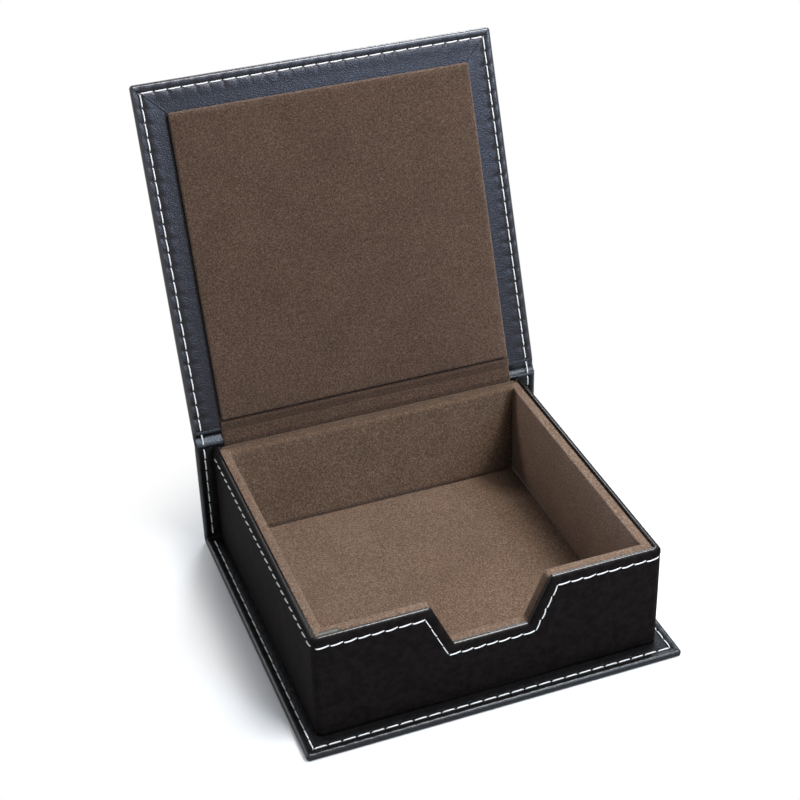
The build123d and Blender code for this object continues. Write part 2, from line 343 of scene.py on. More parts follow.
base_box, spine_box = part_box("base_cover"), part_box("spine_cover")
front, half_width, back = base_box[0].y, base_box[1].x, base_box[1].y
spine_face, case_thick, rim = spine_box[0].y, spine_box[0].z, spine_box[1].z
base_length = back - front
hem_round = 0.9 * mm
turn_in = 15 * mm              # how far the edges are folded in
leather_wall = 0.35 * mm
case_inset = 3.0 * mm          # the thread's distance in from the edge
case_pitch = 4.85 * mm         # one stitch and the hole after it


def hem_rows():
    """Where a sheet lies on its way round a board's edge, as its distance in from that edge and
    its depth through the board: along the outer face, round the edge and back on the inner one."""
    outer_face = np.array([6.0, 5.0, 4.3, 3.8, 3.4, 3.15, 2.9, 2.6, 2.2, 1.7, 1.25]) * mm
    inner_face = np.array([1.2, 1.5, 1.8, 2.1, 2.4, 2.65, 2.85, 3.05, 3.3, 3.6, 4.0, 4.5, 5.2,
                           6.2, 8.0, 10.5, 13.0]) * mm
    arc = np.linspace(0, math.pi / 2, 6)
    far, near = hem_round * (1 - np.sin(arc)), hem_round * (1 - np.cos(arc))
    inset = np.concatenate([outer_face, far, near, inner_face, [turn_in]])
    depth = np.concatenate([np.zeros(len(outer_face)), near, case_thick - far,
                            np.full(len(inner_face) + 1, case_thick)])
    return inset, depth


def bell(distance, width):
    """1 at no distance, and falling off smoothly, to about a third at a width in millimetres."""
    return np.exp(-(distance / (width * mm)) ** 2)


def pulled(inset, along, start, step, tension, crown):
    """Height that the thread gives the leather at a distance in from the edge and a place along
    it: a padded roll outside the row that rises to crown, a groove at the row that is deepest at
    each hole, and a short fold across the row at each hole, by tension. No two holes pull alike."""
    hole = np.round((along - start) / step)
    beside = along - start - hole * step
    uneven = tension * (1 + 0.45 * np.sin(hole * 2.4) * np.cos(hole * 0.9 + 1.0))
    from_row = inset - case_inset
    roll = crown * np.sin(math.pi * np.clip((inset - 0.1 * mm) / (2.8 * mm), 0, 1) ** 0.8)
    roll = roll * (1 - 0.62 * uneven * bell(beside, 1.1))
    groove = -0.15 * mm * bell(from_row, 0.45)
    hole_pit = -0.15 * mm * uneven * bell(beside, 0.7) * bell(from_row, 0.7)
    across = -0.36 * mm * uneven * bell(beside, 0.85) * bell(from_row - 0.6 * mm, 1.5)
    swell = 0.16 * mm * bell(from_row - 1.8 * mm, 1.2)
    height = roll + groove + hole_pit + across + swell
    deepest = -0.28 * mm
    return np.maximum(height, deepest + 0.2 * (height - deepest))


def mitre(side_inset, end_inset):
    """Height of the cut where two folded edges meet at 45 degrees: the end's edge lies on top, and
    the side's edge dips under it."""
    beyond = (end_inset - side_inset) / math.sqrt(2)
    dip = np.where(beyond > 0, -0.22 * mm * np.exp(-beyond / (2.2 * mm)), 0.0)
    lip = 0.05 * mm * bell(np.minimum(beyond, 0), 0.5) * (beyond <= 0)
    near_end = np.clip(np.minimum(side_inset, end_inset) / (0.9 * mm), 0, 1)
    return (dip + lip) * near_end


def even_step(length):
    """The length of one stitch, with the hole after it, where a row is divided evenly."""
    return length / round(length / case_pitch)


base_step = even_step(spine_face - case_inset / 2 - front - case_inset)
front_step = even_step(2 * (half_width - case_inset))
spine_row = case_thick + case_inset / 2           # level of the spine rows' first hole
spine_step = even_step(rim - spine_row)


def sewn(x, along, through, side_place, side_start, side_step, tensions, crown):
    """What the thread and the mitres do to a sheet folded round a board: the height on its inner
    face, faded out through the board, the height itself, and how near a point is to the outer
    face. The side rows have their own places, first hole, step and tension, then the end row's."""
    side_inset = half_width - np.abs(x)
    on_side = side_inset < along
    height = pulled(np.minimum(side_inset, along), np.where(on_side, side_place, x + half_width),
                    np.where(on_side, side_start, case_inset),
                    np.where(on_side, side_step, front_step), np.where(on_side, *tensions), crown)
    share = through / case_thick
    inside = np.clip(share * 3 - 1, 0, 1) * (height + mitre(side_inset, along))
    return inside, height, np.clip(1 - share * 3, 0, 1)


def case_sheet(length, place, relief):
    """A sheet folded round three edges of a board: left, end and right. place puts a point across
    the sheet, along it from the end, and through the board; relief says how far through, with the
    thread's pull. A coarse grid fills the outer face, joined to the fine rows by faces with one
    side per fine point. Gives the points, the faces, and how much each point is rubbed: most on
    the inner face's edge."""
    steps, spacing, corner_round = 4, 0.5 * mm, 1.2 * mm
    corners = [(-half_width, length), (-half_width, 0), (half_width, 0), (half_width, length)]
    radii = np.array([0, corner_round, corner_round, 0])
    spots = spots_along(corners, spacing, steps)
    inset, depth = hem_rows()
    flat = lines_beside(corners, radii, spots, inset)
    through = np.broadcast_to(depth[:, None], flat.shape[:2])
    rows = place(flat[..., 0], flat[..., 1], relief(flat[..., 0], flat[..., 1], through))

    coarse = np.arange(0, len(spots), steps)
    edge = rounded_line(moved_left(corners, inset[0] + 2 * mm), np.zeros(4), spots[coarse])[0]
    per_side = int((spots[coarse] <= 1.0).sum())
    columns = edge[per_side - 1:len(coarse) - per_side + 1, 0]
    levels = edge[:per_side, 1]
    grid_x, grid_y = np.meshgrid(columns, levels)
    middle = place(grid_x, grid_y, relief(grid_x, grid_y, np.zeros_like(grid_x)))

    base = rows.shape[0] * rows.shape[1]
    grid_index = base + np.arange(middle.shape[0] * middle.shape[1]).reshape(middle.shape[:2])
    border = np.concatenate([grid_index[:, 0], grid_index[-1, 1:-1], grid_index[::-1, -1]])
    fine = coarse[:-1, None] + np.arange(steps + 1)
    links = np.concatenate([fine, border[1:, None], border[:-1, None]], 1)
    # The grid's rows run from the far end to the near one, so that its faces point outwards.
    inner = base + quads(*middle.shape[:2])
    points = np.concatenate([rows.reshape(-1, 3), middle.reshape(-1, 3)])
    edge_rows = 0.9 * bell(inset - 0.6 * mm, 0.6) * (depth > 0.5 * case_thick)
    rubbed = np.zeros(len(points))
    rubbed[:base] = np.repeat(edge_rows, rows.shape[1])
    return points, [quads(*rows.shape[:2]), links[:, ::-1], inner], rubbed


def on_base_and_spine(x, along, through):
    """A point of the sheet: along the base from its front, round the fold and up the spine. It
    lies between an outer line and an inner line, at the share of the board that it is through."""
    spot = np.where(along < base_length, along / base_length, 1 + (along - base_length) / rim)
    outer = rounded_line([(front, 0), (back, 0), (back, rim)], [0, 2.0 * mm, 0], spot.ravel())[0]
    inner = rounded_line([(front, case_thick), (spine_face, case_thick), (spine_face, rim)],
                         [0, 0.5 * mm, 0], spot.ravel())[0]
    yz = outer + (inner - outer) * (through / case_thick).ravel()[:, None]
    return np.concatenate([x[..., None], yz.reshape(*spot.shape, 2)], -1)


def base_relief(x, along, through):
    """Depth of the sheet with the pull of the thread and the mitres. The underside stays flat
    where it stands on the table, and only its groove for the thread is pressed in."""
    flat = on_base_and_spine(x, along, through)
    on_spine = along > base_length
    inside, height, outer = sewn(
        x, along, through, np.where(on_spine, flat[..., 2], flat[..., 1] - front),
        np.where(on_spine, spine_row, case_inset), np.where(on_spine, spine_step, base_step),
        (0.45, 0.45), 0.28 * mm)
    outside = outer * np.where(on_spine, -0.6 * height, np.maximum(-height, 0) * 1.2)
    near_fold = bell(along - base_length, 2.5)
    return through + (inside + outside) * (1 - 0.8 * near_fold)


points, faces, rubbed = case_sheet(base_length + rim, on_base_and_spine, base_relief)
base_leather = add_piece("base_and_spine_leather", points, faces, leather, leather_wall,
                         0.65 * rubbed)
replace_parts(base_leather, "base_cover", "spine_cover")
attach(base_leather, "case")


# ---------------------------------------------------------------- leather of the lid
# The same sheet goes over the lid board and is folded round its free edge and its two sides. It
# is worked out with the lid shut, then turned about the fold to where the lid stands at rest.
hinge = frame["joints"][0]
fold_y, fold_z = hinge["pos_m"][1:]
lean = math.radians(-hinge["range_deg"][0])


def turned(points, angle):
    """Points turned about the fold line, lid-opening way for a positive angle."""
    y, z = points[..., 1] - fold_y, points[..., 2] - fold_z
    return np.stack([points[..., 0], fold_y + y * math.cos(angle) + z * math.sin(angle),
                     fold_z - y * math.sin(angle) + z * math.cos(angle)], -1)


def shut_box(node):
    """Lowest and highest corner of a lid node with the lid shut."""
    mesh = frame["nodes"][node].data
    places = np.empty(len(mesh.vertices) * 3)
    mesh.vertices.foreach_get("co", places)
    places = turned(places.reshape(-1, 3), -lean)
    return places.min(0), places.max(0)


lid_lo, lid_hi = shut_box("lid_cover")
lid_front, lid_back = lid_lo[1], lid_hi[1]
lid_top, lid_under = lid_hi[2], lid_hi[2] - case_thick
lid_length = lid_back - lid_front
lid_step = even_step(lid_length - case_inset)


def on_lid(x, along, through):
    """A point of the lid's sheet: along from the free edge, and through from the outer face."""
    shut = np.stack([x, lid_front + along, lid_top - through], -1)
    return turned(shut, lean)


def lid_relief(x, along, through):
    """Depth of the lid's sheet with the pull of the thread and the mitres."""
    inside, height, outer = sewn(x, along, through, along, case_inset, lid_step, (0.85, 0.5),
                                 0.16 * mm)
    return through + inside + outer * -0.6 * height


points, faces, rubbed = case_sheet(lid_length, on_lid, lid_relief)
handled = black_leather("handled_leather", 0.38, 0.08 * mm, 0.31, (0.84, 0.84, 1.0))
lid_leather = add_piece("lid_leather", points, [group[:, ::-1] for group in faces], handled,
                        leather_wall, rubbed)
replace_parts(lid_leather, "lid_cover")
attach(lid_leather, "lid")


# ---------------------------------------------------------------- leather of the hinge
# Between spine and lid the sheet has no board, only a second skin glued to its inside. It bends
# there, and has kept a slanting fold from being shut. Its side edges are turned in as well.
def near(start, *offsets):
    """Places (y, z) at offsets in millimetres from a start."""
    return np.array(start) + np.array(offsets) * mm


def near_lid_edge(depth, *offsets):
    """Places (y, z) beside the lid's hinge edge, with the lid at rest. An offset in millimetres
    says how far along the lid from that edge, and how far through it from a depth."""
    along, through = np.array(offsets).T * mm
    shut = np.stack([0 * along, lid_back - along, lid_top - depth - through], -1)
    return turned(shut, lean)[:, 1:]


def smooth_curve(count, *parts):
    """A curve through the places of all parts: a cubic from each place to the next, with the same
    direction where two meet, read at count evenly spread steps."""
    places = np.concatenate(parts)
    runs = len(places) - 1
    leaning = np.gradient(places, axis=0)
    share = np.linspace(0, 1, count) * runs
    run = np.clip(share.astype(int), 0, runs - 1)
    t = (share - run)[:, None]
    return ((2 * t ** 3 - 3 * t ** 2 + 1) * places[run] + (t ** 3 - 2 * t ** 2 + t) * leaning[run]
            + (3 * t ** 2 - 2 * t ** 3) * places[run + 1] + (t ** 3 - t ** 2) * leaning[run + 1])


hinge_rows = 40
outer_line = smooth_curve(hinge_rows, near((back, rim), (0, 0), (-0.15, 1.3), (0.35, 3.0)),
                          near_lid_edge(0, (-0.6, 0.15), (0, 0)))
inner_line = smooth_curve(hinge_rows, near((spine_face, rim), (0, 0), (-0.1, 0.9), (0.3, 1.8),
                                           (1.1, 2.7), (1.95, 3.6), (1.85, 4.3), (1.75, 5.0)),
                          near_lid_edge(case_thick, (0, 0)))
side_arc = np.linspace(-math.pi / 2, math.pi / 2, 11)
face_x = np.linspace(-1, 1, 90)[1:-1] * (half_width - hem_round)
side_x = half_width - hem_round + hem_round * np.cos(side_arc)
loop_x = np.concatenate([face_x, side_x, -face_x, -side_x])
side_share = (1 + np.sin(side_arc)) / 2
loop_share = np.concatenate([0 * face_x, side_share, 0 * face_x + 1, 1 - side_share])
yz = outer_line[:, None] + (inner_line - outer_line)[:, None] * loop_share[None, :, None]
fold_drop = 1.5 * mm * (0.5 + loop_x / (2 * half_width)) * loop_share
yz[..., 1] -= fold_drop * np.sin(np.linspace(0, math.pi, hinge_rows))[:, None] ** 2
points = np.concatenate([np.broadcast_to(loop_x[None, :, None], (*yz.shape[:2], 1)), yz], -1)
count = len(loop_x)
caps = np.stack([np.arange(count)[::-1], np.arange(count) + (hinge_rows - 1) * count])
hinge_leather = add_piece("hinge_leather", points, [quads(hinge_rows, count, True), caps],
                          black_leather("bent_leather", 0.45, 0.10 * mm, 0.34))
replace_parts(hinge_leather, "hinge_cover")
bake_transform(hinge_leather)


# ---------------------------------------------------------------- leather of the tray
# One strip goes round the four thin walls. It is glued down on the outside, folded over the rim
# and through the front notch, and turned in behind the lining. A row of thread holds the fold.
tray_lo, tray_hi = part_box("tray_cover")
tray_half, tray_front, tray_back = tray_hi.x, tray_lo.y, tray_hi.y
tray_corner = 2.0 * mm
notch_top, notch_floor, notch_depth = 20.4 * mm, 12.9 * mm, 16.6 * mm
flap_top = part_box("back_wall_board")[1].z + 0.4 * mm
rim_inset = 3.0 * mm
tray_pitch = 4.3 * mm

plan = [(0, tray_back), (-tray_half, tray_back), (-tray_half, tray_front), (tray_half, tray_front),
        (tray_half, tray_back), (0, tray_back)]
plan_radii = [0, tray_corner, tray_corner, tray_corner, tray_corner, 0]
plan_lengths = runs_of(plan)[1]
plan_ends = np.concatenate([[0], np.cumsum(plan_lengths)])
rim_middle = (plan_ends[2] + plan_ends[3]) / 2


def round_the_tray(along, out, level):
    """A point of the strip: along the walls from the middle of the back, out from the outer face
    (negative inwards), at a level."""
    run = np.clip(np.searchsorted(plan_ends, along.ravel(), "right") - 1, 0, 4)
    spot = run + (along.ravel() - plan_ends[run]) / plan_lengths[run]
    places, ahead = rounded_line(plan, plan_radii, spot)
    outward = np.stack([ahead[:, 1], -ahead[:, 0]], -1)
    places = places + outward * out.ravel()[:, None]
    return np.concatenate([places.reshape(*along.shape, 2), level[..., None]], -1)


def with_foot(rows, level, shares):
    """Rows of points, and below the last one more of them at shares of the way to a level."""
    place, height = rows[-1].T
    foot = [np.stack([place, height + (level - height) * share], -1) for share in shares]
    return np.concatenate([rows, foot])


def notched(middle, half, top, dip, low_half, high_half):
    """Corners of a level line with a notch in its middle."""
    return [(middle - half, top), (middle - high_half, top), (middle - low_half, top - dip),
            (middle + low_half, top - dip), (middle + high_half, top), (middle + half, top)]


rim_end, flap_start = 2.0 * mm, 3.2 * mm          # along the back, from its two corners
rim_line = ([(0, flap_top), (plan_ends[1] - flap_start, flap_top),
             (plan_ends[1] - rim_end, rim), (plan_ends[1], rim), (plan_ends[2], rim)]
            + notched(rim_middle, 0, rim, notch_depth, notch_floor, notch_top)[1:-1]
            + [(plan_ends[3], rim), (plan_ends[4], rim), (plan_ends[4] + rim_end, rim),
               (plan_ends[4] + flap_start, flap_top), (plan_ends[5], flap_top)])
rim_radii = np.array([0, 0.5, 0.5, 0, 0, 1.0, 0.7, 0.7, 1.0, 0, 0, 0.5, 0.5, 0]) * mm
rim_spots = spots_along(rim_line, 0.62 * mm)

ridge_out, ridge_down = np.array([
    (-1.44, 0.9), (-1.43, 0.5), (-1.39, 0.20), (-1.30, 0.05), (-1.18, 0.0), (-1.05, 0.04),
    (-0.92, 0.14), (-0.80, 0.22), (-0.60, 0.29), (-0.36, 0.41), (-0.13, 0.60), (0.0, 0.92)]).T * mm
below_rim = np.array([1.1, 1.4, 1.8, 2.2, 2.5, 2.75, 2.95, 3.15, 3.4, 3.8, 4.4, 5.2, 6.4]) * mm
strip_down = np.concatenate([[6 * mm, 3 * mm, 1.5 * mm], ridge_down, below_rim])
strip_out = np.concatenate([np.full(3, ridge_out[0]), ridge_out, np.zeros(len(below_rim))])
strip_flat = with_foot(lines_beside(rim_line, rim_radii, rim_spots, -strip_down), case_thick,
                       [0.06, 0.15, 0.3, 0.45, 0.6, 0.75, 0.88, 0.95, 1.0])
foot_rows = len(strip_flat) - len(strip_down)
strip_out = np.append(strip_out, np.zeros(foot_rows))
from_rim = np.append(strip_down, np.full(foot_rows, 20 * mm))[:, None]
strip_place = strip_flat[..., 0]
outside = (strip_out > ridge_out[0] / 2)[:, None]
hole = np.round((strip_place - plan_ends[2]) / tray_pitch)
beside = strip_place - plan_ends[2] - hole * tray_pitch
roll = 0.10 * mm * np.sin(math.pi * np.clip((from_rim - 0.5 * mm) / (2.3 * mm), 0, 1))
groove = 0.08 * mm * bell(from_rim - rim_inset, 0.5)
hole_pit = 0.05 * mm * bell(beside, 0.7) * bell(from_rim - rim_inset, 1.2)
beads = 0.035 * mm * np.sin(strip_place / (0.31 * mm) + 2 * np.sin(strip_place / (3.1 * mm)))
calm = 0.10 * mm * np.sin(strip_place / (21 * mm)) * np.sin(strip_flat[..., 1] / (13 * mm))
strip_height = (outside * (roll - groove - hole_pit) + calm * (from_rim > 5 * mm)
                + beads * bell(from_rim - 0.3 * mm, 0.5))
points = round_the_tray(strip_place[:, :-1], (strip_out[:, None] + strip_height)[:, :-1],
                        strip_flat[:, :-1, 1])
on_front = (strip_place > plan_ends[2]) & (strip_place < plan_ends[3])
rubbed_rim = bell(strip_out[:, None] + 1.1 * mm, np.where(on_front, 0.32, 0.5))
rubbed_rim = rubbed_rim * (from_rim < 0.55 * mm) * np.where(on_front, 1.0, 0.5)
matt = black_leather("matt_leather", 0.035, 0.12 * mm, 0.75, (1.0, 0.94, 0.95), 1.0)
tray_leather = add_piece("tray_leather", points, quads(*points.shape[:2], True), matt,
                         leather_wall, rubbed_rim[:, :-1])
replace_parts(tray_leather, "tray_cover")
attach(tray_leather, "case")


# ---------------------------------------------------------------- velvet of floor and walls
# Brown short-pile velvet is wrapped round each card and glued behind it. The pile hides the joints
# between the panels, rounds their edges, and looks lighter where it is seen from the side.
# Light and shade are also painted into the velvet's colour, by its shade and by a point attribute.
def brown_velvet(name, shade):
    """Velvet whose colour is multiplied by shade. The point attribute read here is painted light:
    above 0 it makes the colour lighter and greyer, and below 0 it is painted shade and makes the
    colour darker."""
    material, tree, surface, coordinate = finish(name)
    flock = speckle(tree, coordinate, 0.5 * mm, 3.0)
    nap = speckle(tree, coordinate, 14 * mm, 3.0)
    browns = [(0.28, (0.066, 0.036, 0.024)), (0.5, (0.128, 0.078, 0.054)),
              (0.72, (0.225, 0.150, 0.110))]
    patches = [(0.3, (0.86, 0.86, 0.86)), (0.7, (1.0, 1.0, 1.0))]
    tint = add_node(tree, "Mix", {"Factor": 1.0, "A": ramp(tree, flock, browns, shade),
                                  "B": ramp(tree, nap, patches)},
                    data_type="RGBA", blend_type="MULTIPLY").outputs["Result"]
    painted_light = add_node(tree, "Attribute", {}, attribute_name="polish_and_painted_light").outputs["Fac"]
    painted_light_colour = add_node(tree, "HueSaturation", {
        "Value": calculated(tree, "MULTIPLY_ADD", painted_light, 0.6, 1.0),
        "Saturation": calculated(tree, "MULTIPLY_ADD", painted_light, -0.10, 1.0), "Color": tint})
    feed(surface, {
        "Base Color": painted_light_colour.outputs["Color"], "Normal": bump(tree, flock, 0.25 * mm, 0.5),
        "Roughness": 1.0, "Specular IOR Level": 0.1, "Sheen Weight": 0.5,
        "Sheen Roughness": 0.4, "Sheen Tint": (0.80, 0.64, 0.54, 1.0)})
    return material


# The linings' copy of the velvet is lighter and a little greener than the pad's: painted light
# inside the tray.
velvet = brown_velvet("lining_velvet", (1.25, 1.33, 1.33))

lining_lo, lining_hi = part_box("front_lining_velvet")
room_half, lining_top = lining_hi.x, lining_hi.z
panel_front, floor_top = lining_lo.y, lining_lo.z
panel_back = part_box("back_lining_card")[1].y
pile_stand = 0.4 * mm
lining_thick = lining_hi.y - lining_lo.y + pile_stand
velvet_wall = 0.5 * mm
outer_round = 0.45 * mm


def panel_rows(behind, stand_off, inner_round, slope=0.2 * mm):
    """Where velvet lies on its way over a panel: down from its top and in from its back. It comes
    up behind the card, goes over the top with both edges rounded, and down the side of the room.
    It stands off the wall, and its top slopes down a little to the wall."""
    arc = np.linspace(0, math.pi / 2, 6)
    down = np.concatenate([[behind, 2 * mm], slope + outer_round * (1 - np.sin(arc)), [slope / 3],
                           inner_round * (1 - np.cos(arc)), [2 * mm, 2.5 * mm, 3.5 * mm, 5 * mm]])
    inward = np.concatenate([[stand_off, stand_off], stand_off + outer_round * (1 - np.cos(arc)),
                             [(stand_off + outer_round + lining_thick - inner_round) / 2],
                             lining_thick - inner_round * (1 - np.sin(arc)),
                             np.full(4, lining_thick)])
    return down, inward


left_gap = 0.1 * mm
corner_soft = 3.0 * mm
flap_reach = 1.3 * mm                             # of the back lining, behind its card
# Painted light and shade in the velvet's colour, lighter above 0 and darker below: painted shade on
# the back panel's top and flap, one value where the panels meet at their mitred ends, and painted
# shade on the notch's slopes and in the back right corner.
back_painted_shade, corner_painted_light, slope_painted_shade, well_painted_shade = -0.7, 0.15, -0.7, -1.0


def within_walls(x, y):
    """Places moved in to where the linings end, with their two back corners rounded."""
    inner_x = np.clip(x, -room_half + left_gap + corner_soft, room_half - corner_soft)
    inner_y = np.minimum(y, panel_back + flap_reach - corner_soft)
    share = np.minimum(1, corner_soft / np.maximum(np.hypot(x - inner_x, y - inner_y), 1e-9))
    return inner_x + (x - inner_x) * share, inner_y + (y - inner_y) * share


def well_shade_share(x, y, z):
    """How much painted shade a point gets in the back right corner of the room: 1 in the corner and
    0 away from it, by the distance from the corner in plan, within a reach that grows towards the
    floor."""
    deep = np.clip((lining_top - z) / (lining_top - floor_top), 0, 1)
    reach = 3.0 * mm + 12.0 * mm * deep ** 2
    gone = np.hypot(x - room_half + lining_thick, y - panel_back + lining_thick)
    return np.clip((1.25 * reach - gone) / (0.5 * reach), 0, 1)


def lining_panel(name, centre, ahead, line, radii=np.zeros(2), stand_off=0.0,
                 inner_round=0.8 * mm, bare_end=0.0, top_painted_light=0.1, face_painted_lights=(0.0, 0.0)):
    """Velvet over one panel. line is its top edge, as places along it and levels; ahead is the way
    along it, with the room on its left. Its ends are cut at 45 degrees, so that four panels meet in
    their corners. bare_end is how far the velvet stops short of the card's back near one end, and
    stand_off is the gap between the panel and the wall. The last two arguments paint light into the
    colour, or shade below 0: on top, away from the notch's slopes, and at the face's upper and
    lower edge."""
    inward_way = np.array([-ahead[1], ahead[0]])
    spots = spots_along(line, 1.2 * mm)
    down, inward = panel_rows(6 * mm, stand_off, inner_round)
    flat = with_foot(lines_beside(line, radii, spots, -down), floor_top - 0.4 * mm,
                     [0.15, 0.35, 0.55, 0.75, 0.92, 1.0])
    inward = np.append(inward, np.full(len(flat) - len(down), lining_thick))[:, None]
    half = line[-1][0]
    along, level = flat[..., 0], flat[..., 1]
    beyond = np.clip((np.abs(along) - half) / (16 * mm) + 1, 0, 1)
    pulled_back = bare_end * np.clip((-along - half + 8.4 * mm) / (1.4 * mm), 0, 1)
    inward = inward + pulled_back * (1 - inward / lining_thick)
    along = along - np.sign(along) * beyond * inward
    soft = 0.05 * mm * np.sin(along / (6.1 * mm)) * np.sin(level / (4.7 * mm) + 1)
    inward = inward + soft * (inward > 0.9 * lining_thick)
    level = level + 0.04 * mm * np.sin(along / (4.3 * mm)) * (level > lining_top - 0.2 * mm)
    places = (np.array(centre) + along[..., None] * np.array(ahead)
              + inward[..., None] * inward_way)
    points = np.stack([*within_walls(places[..., 0], places[..., 1]), level], -1)
    # The point attribute below paints light and shade into the colour: the top's and the face's
    # values, painted shade on the notch's slopes, one value at the mitred ends, and painted shade
    # in the back right corner.
    first_on_face = 9
    on_face = np.clip((np.arange(len(points)) - first_on_face) / 5, 0, 1)[:, None]
    rim_level = rounded_line(line, radii, spots)[0][:, 1]
    on_slope = np.abs(lining_top - notch_depth / 2 - rim_level) < 0.45 * notch_depth
    deep = (lining_top - level) / (lining_top - floor_top)
    face_painted_light = face_painted_lights[0] + (face_painted_lights[1] - face_painted_lights[0]) * deep
    # The notch's slopes get painted shade.
    top = np.where(on_slope, slope_painted_shade, top_painted_light)
    painted_light = top + (face_painted_light - top) * on_face
    painted_light = painted_light + (corner_painted_light - painted_light) * beyond ** 5
    # Painted shade in the back right corner.
    painted_light = painted_light + (well_painted_shade - painted_light) * well_shade_share(*np.moveaxis(points, -1, 0)) * on_face
    panel = add_piece(name, points, quads(*points.shape[:2]), velvet, velvet_wall, painted_light)
    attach(panel, "case")
    return panel


depth_half = (panel_back - panel_front) / 2
depth_middle = (panel_back + panel_front) / 2
lining_notch = (rim - lining_top) * (notch_top - notch_floor) / notch_depth
front_line = notched(0, room_half, lining_top, notch_depth, notch_floor, notch_top - lining_notch)
front_radii = np.array([0, 0.9, 0.6, 0.6, 0.9, 0]) * mm
front_tuck = 0.04 * mm
side_line = [(-depth_half, lining_top), (depth_half, lining_top)]
back_line = [(-room_half, lining_top), (room_half, lining_top)]
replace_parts(lining_panel("front_lining", (0, panel_front - front_tuck), (1, 0), front_line,
                         front_radii, bare_end=2.0 * mm), "front_lining_velvet")
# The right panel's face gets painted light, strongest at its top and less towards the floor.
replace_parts(lining_panel("right_lining", (room_half, depth_middle), (0, 1), side_line,
                         face_painted_lights=(2.5, 0.9)), "right_lining_velvet", "right_lining_card")
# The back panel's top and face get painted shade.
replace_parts(lining_panel("back_lining", (0, panel_back), (-1, 0), back_line,
                         inner_round=1.5 * mm, top_painted_light=back_painted_shade, face_painted_lights=(-0.25, -0.25)),
            "back_lining_velvet")
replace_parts(lining_panel("left_lining", (-room_half, depth_middle), (0, -1), side_line,
                         stand_off=left_gap), "left_lining_velvet", "left_lining_card")

flap_steps = np.append(np.array([-0.7, -0.2, 0.3, 0.6, 0.8, 1.0, 1.15]) * mm, flap_reach)
flap_x, flap_y = np.meshgrid(np.linspace(-room_half, room_half, 90), panel_back + flap_steps)
flap_z = lining_top - 0.6 * mm * np.clip((flap_y - spine_face + 0.8 * mm) / (0.7 * mm), 0, 1) ** 2
points = np.stack([*within_walls(flap_x, flap_y), flap_z], -1)
# The flap gets the same painted shade as the back panel's top.
back_flap = add_piece("back_lining_flap", points, quads(*points.shape[:2]), velvet,
                      velvet_wall, np.full(flap_x.shape, back_painted_shade))
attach(back_flap, "case")

floor_x, floor_y = np.meshgrid(np.linspace(-room_half, room_half, 80),
                               np.linspace(panel_front, panel_back, 74))
floor_waves = np.sin(floor_x / (9 * mm)) * np.sin(floor_y / (11 * mm))
floor_z = floor_top + 0.05 * mm * (floor_waves - 1)
points = np.stack([floor_x, floor_y, floor_z], -1)
# The floor gets painted shade in the back right corner.
floor_cloth = add_piece("floor_velvet_sheet", points, quads(*points.shape[:2]), velvet,
                        velvet_wall, well_painted_shade * well_shade_share(floor_x, floor_y, floor_z))
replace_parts(floor_cloth, "floor_velvet")
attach(floor_cloth, "case")


# ---------------------------------------------------------------- pad inside the lid
# A card with a thin layer of wadding, wrapped in the same velvet and glued inside the lid, with
# the leather left showing all round it. Its edges and corners are soft and a little rounded.
# The pad's velvet is a darker copy of the linings': painted shade.
pad_velvet = brown_velvet("pad_velvet", (0.52, 0.52, 0.52))
pad_lo, pad_hi = shut_box("lid_pad_velvet")
pad_half, pad_under = pad_hi[0], pad_lo[2]
pad_half_length, pad_middle = (pad_hi[1] - pad_lo[1]) / 2, (pad_hi[1] + pad_lo[1]) / 2
pad_round = 0.8 * mm


def soft_slab(half_x, half_y, edge_round, drop, undercut, spacing):
    """A slab's face and sides as one sheet: a flat grid whose outermost lines bend over a rounded
    edge and go down by drop, back under the face by undercut. Beyond the flat part, the distance
    over it is bent onto the arc."""
    over = np.concatenate([np.linspace(0, math.pi / 2, 7)[1:] * edge_round,
                           math.pi / 2 * edge_round + np.linspace(0, drop - edge_round, 4)[1:]])
    lines = []
    for half in (half_x - edge_round, half_y - edge_round):
        flat = np.linspace(-half, half, max(3, round(2 * half / spacing)))
        lines.append(np.concatenate([-half - over[::-1], flat, half + over]))
    x, y = np.meshgrid(*lines)
    inner_x = np.clip(x, -half_x + edge_round, half_x - edge_round)
    inner_y = np.clip(y, -half_y + edge_round, half_y - edge_round)
    gone_x, gone_y = x - inner_x, y - inner_y
    gone = np.maximum(np.hypot(gone_x, gone_y), 1e-12)
    length = np.maximum(np.abs(gone_x), np.abs(gone_y))
    angle = np.minimum(length / edge_round, math.pi / 2)
    below = np.maximum(length - math.pi / 2 * edge_round, 0)
    reach = edge_round * np.sin(angle) - undercut * below / (drop - edge_round)
    sunk = edge_round * (1 - np.cos(angle)) + below
    return np.stack([inner_x + gone_x / gone * reach, inner_y + gone_y / gone * reach, sunk], -1)


pad = soft_slab(pad_half, pad_half_length, pad_round, lid_under - pad_under, 0.9 * mm, 1.6 * mm)
pad_x, pad_y, pad_sunk = np.moveaxis(pad, -1, 0)
quilt = 0.06 * mm * np.sin(pad_x / (8.3 * mm)) * np.sin((pad_y + pad_middle) / (7.1 * mm) + 0.6)
crown = np.cos(pad_x / pad_half * math.pi / 2) * np.cos(pad_y / pad_half * math.pi / 2)
on_top = pad_sunk <= 0.5 * pad_round
lift = on_top * (quilt + 0.15 * mm * np.clip(crown, 0, 1))
points = turned(np.stack([pad_x, pad_y + pad_middle, pad_under + pad_sunk - lift], -1), lean)
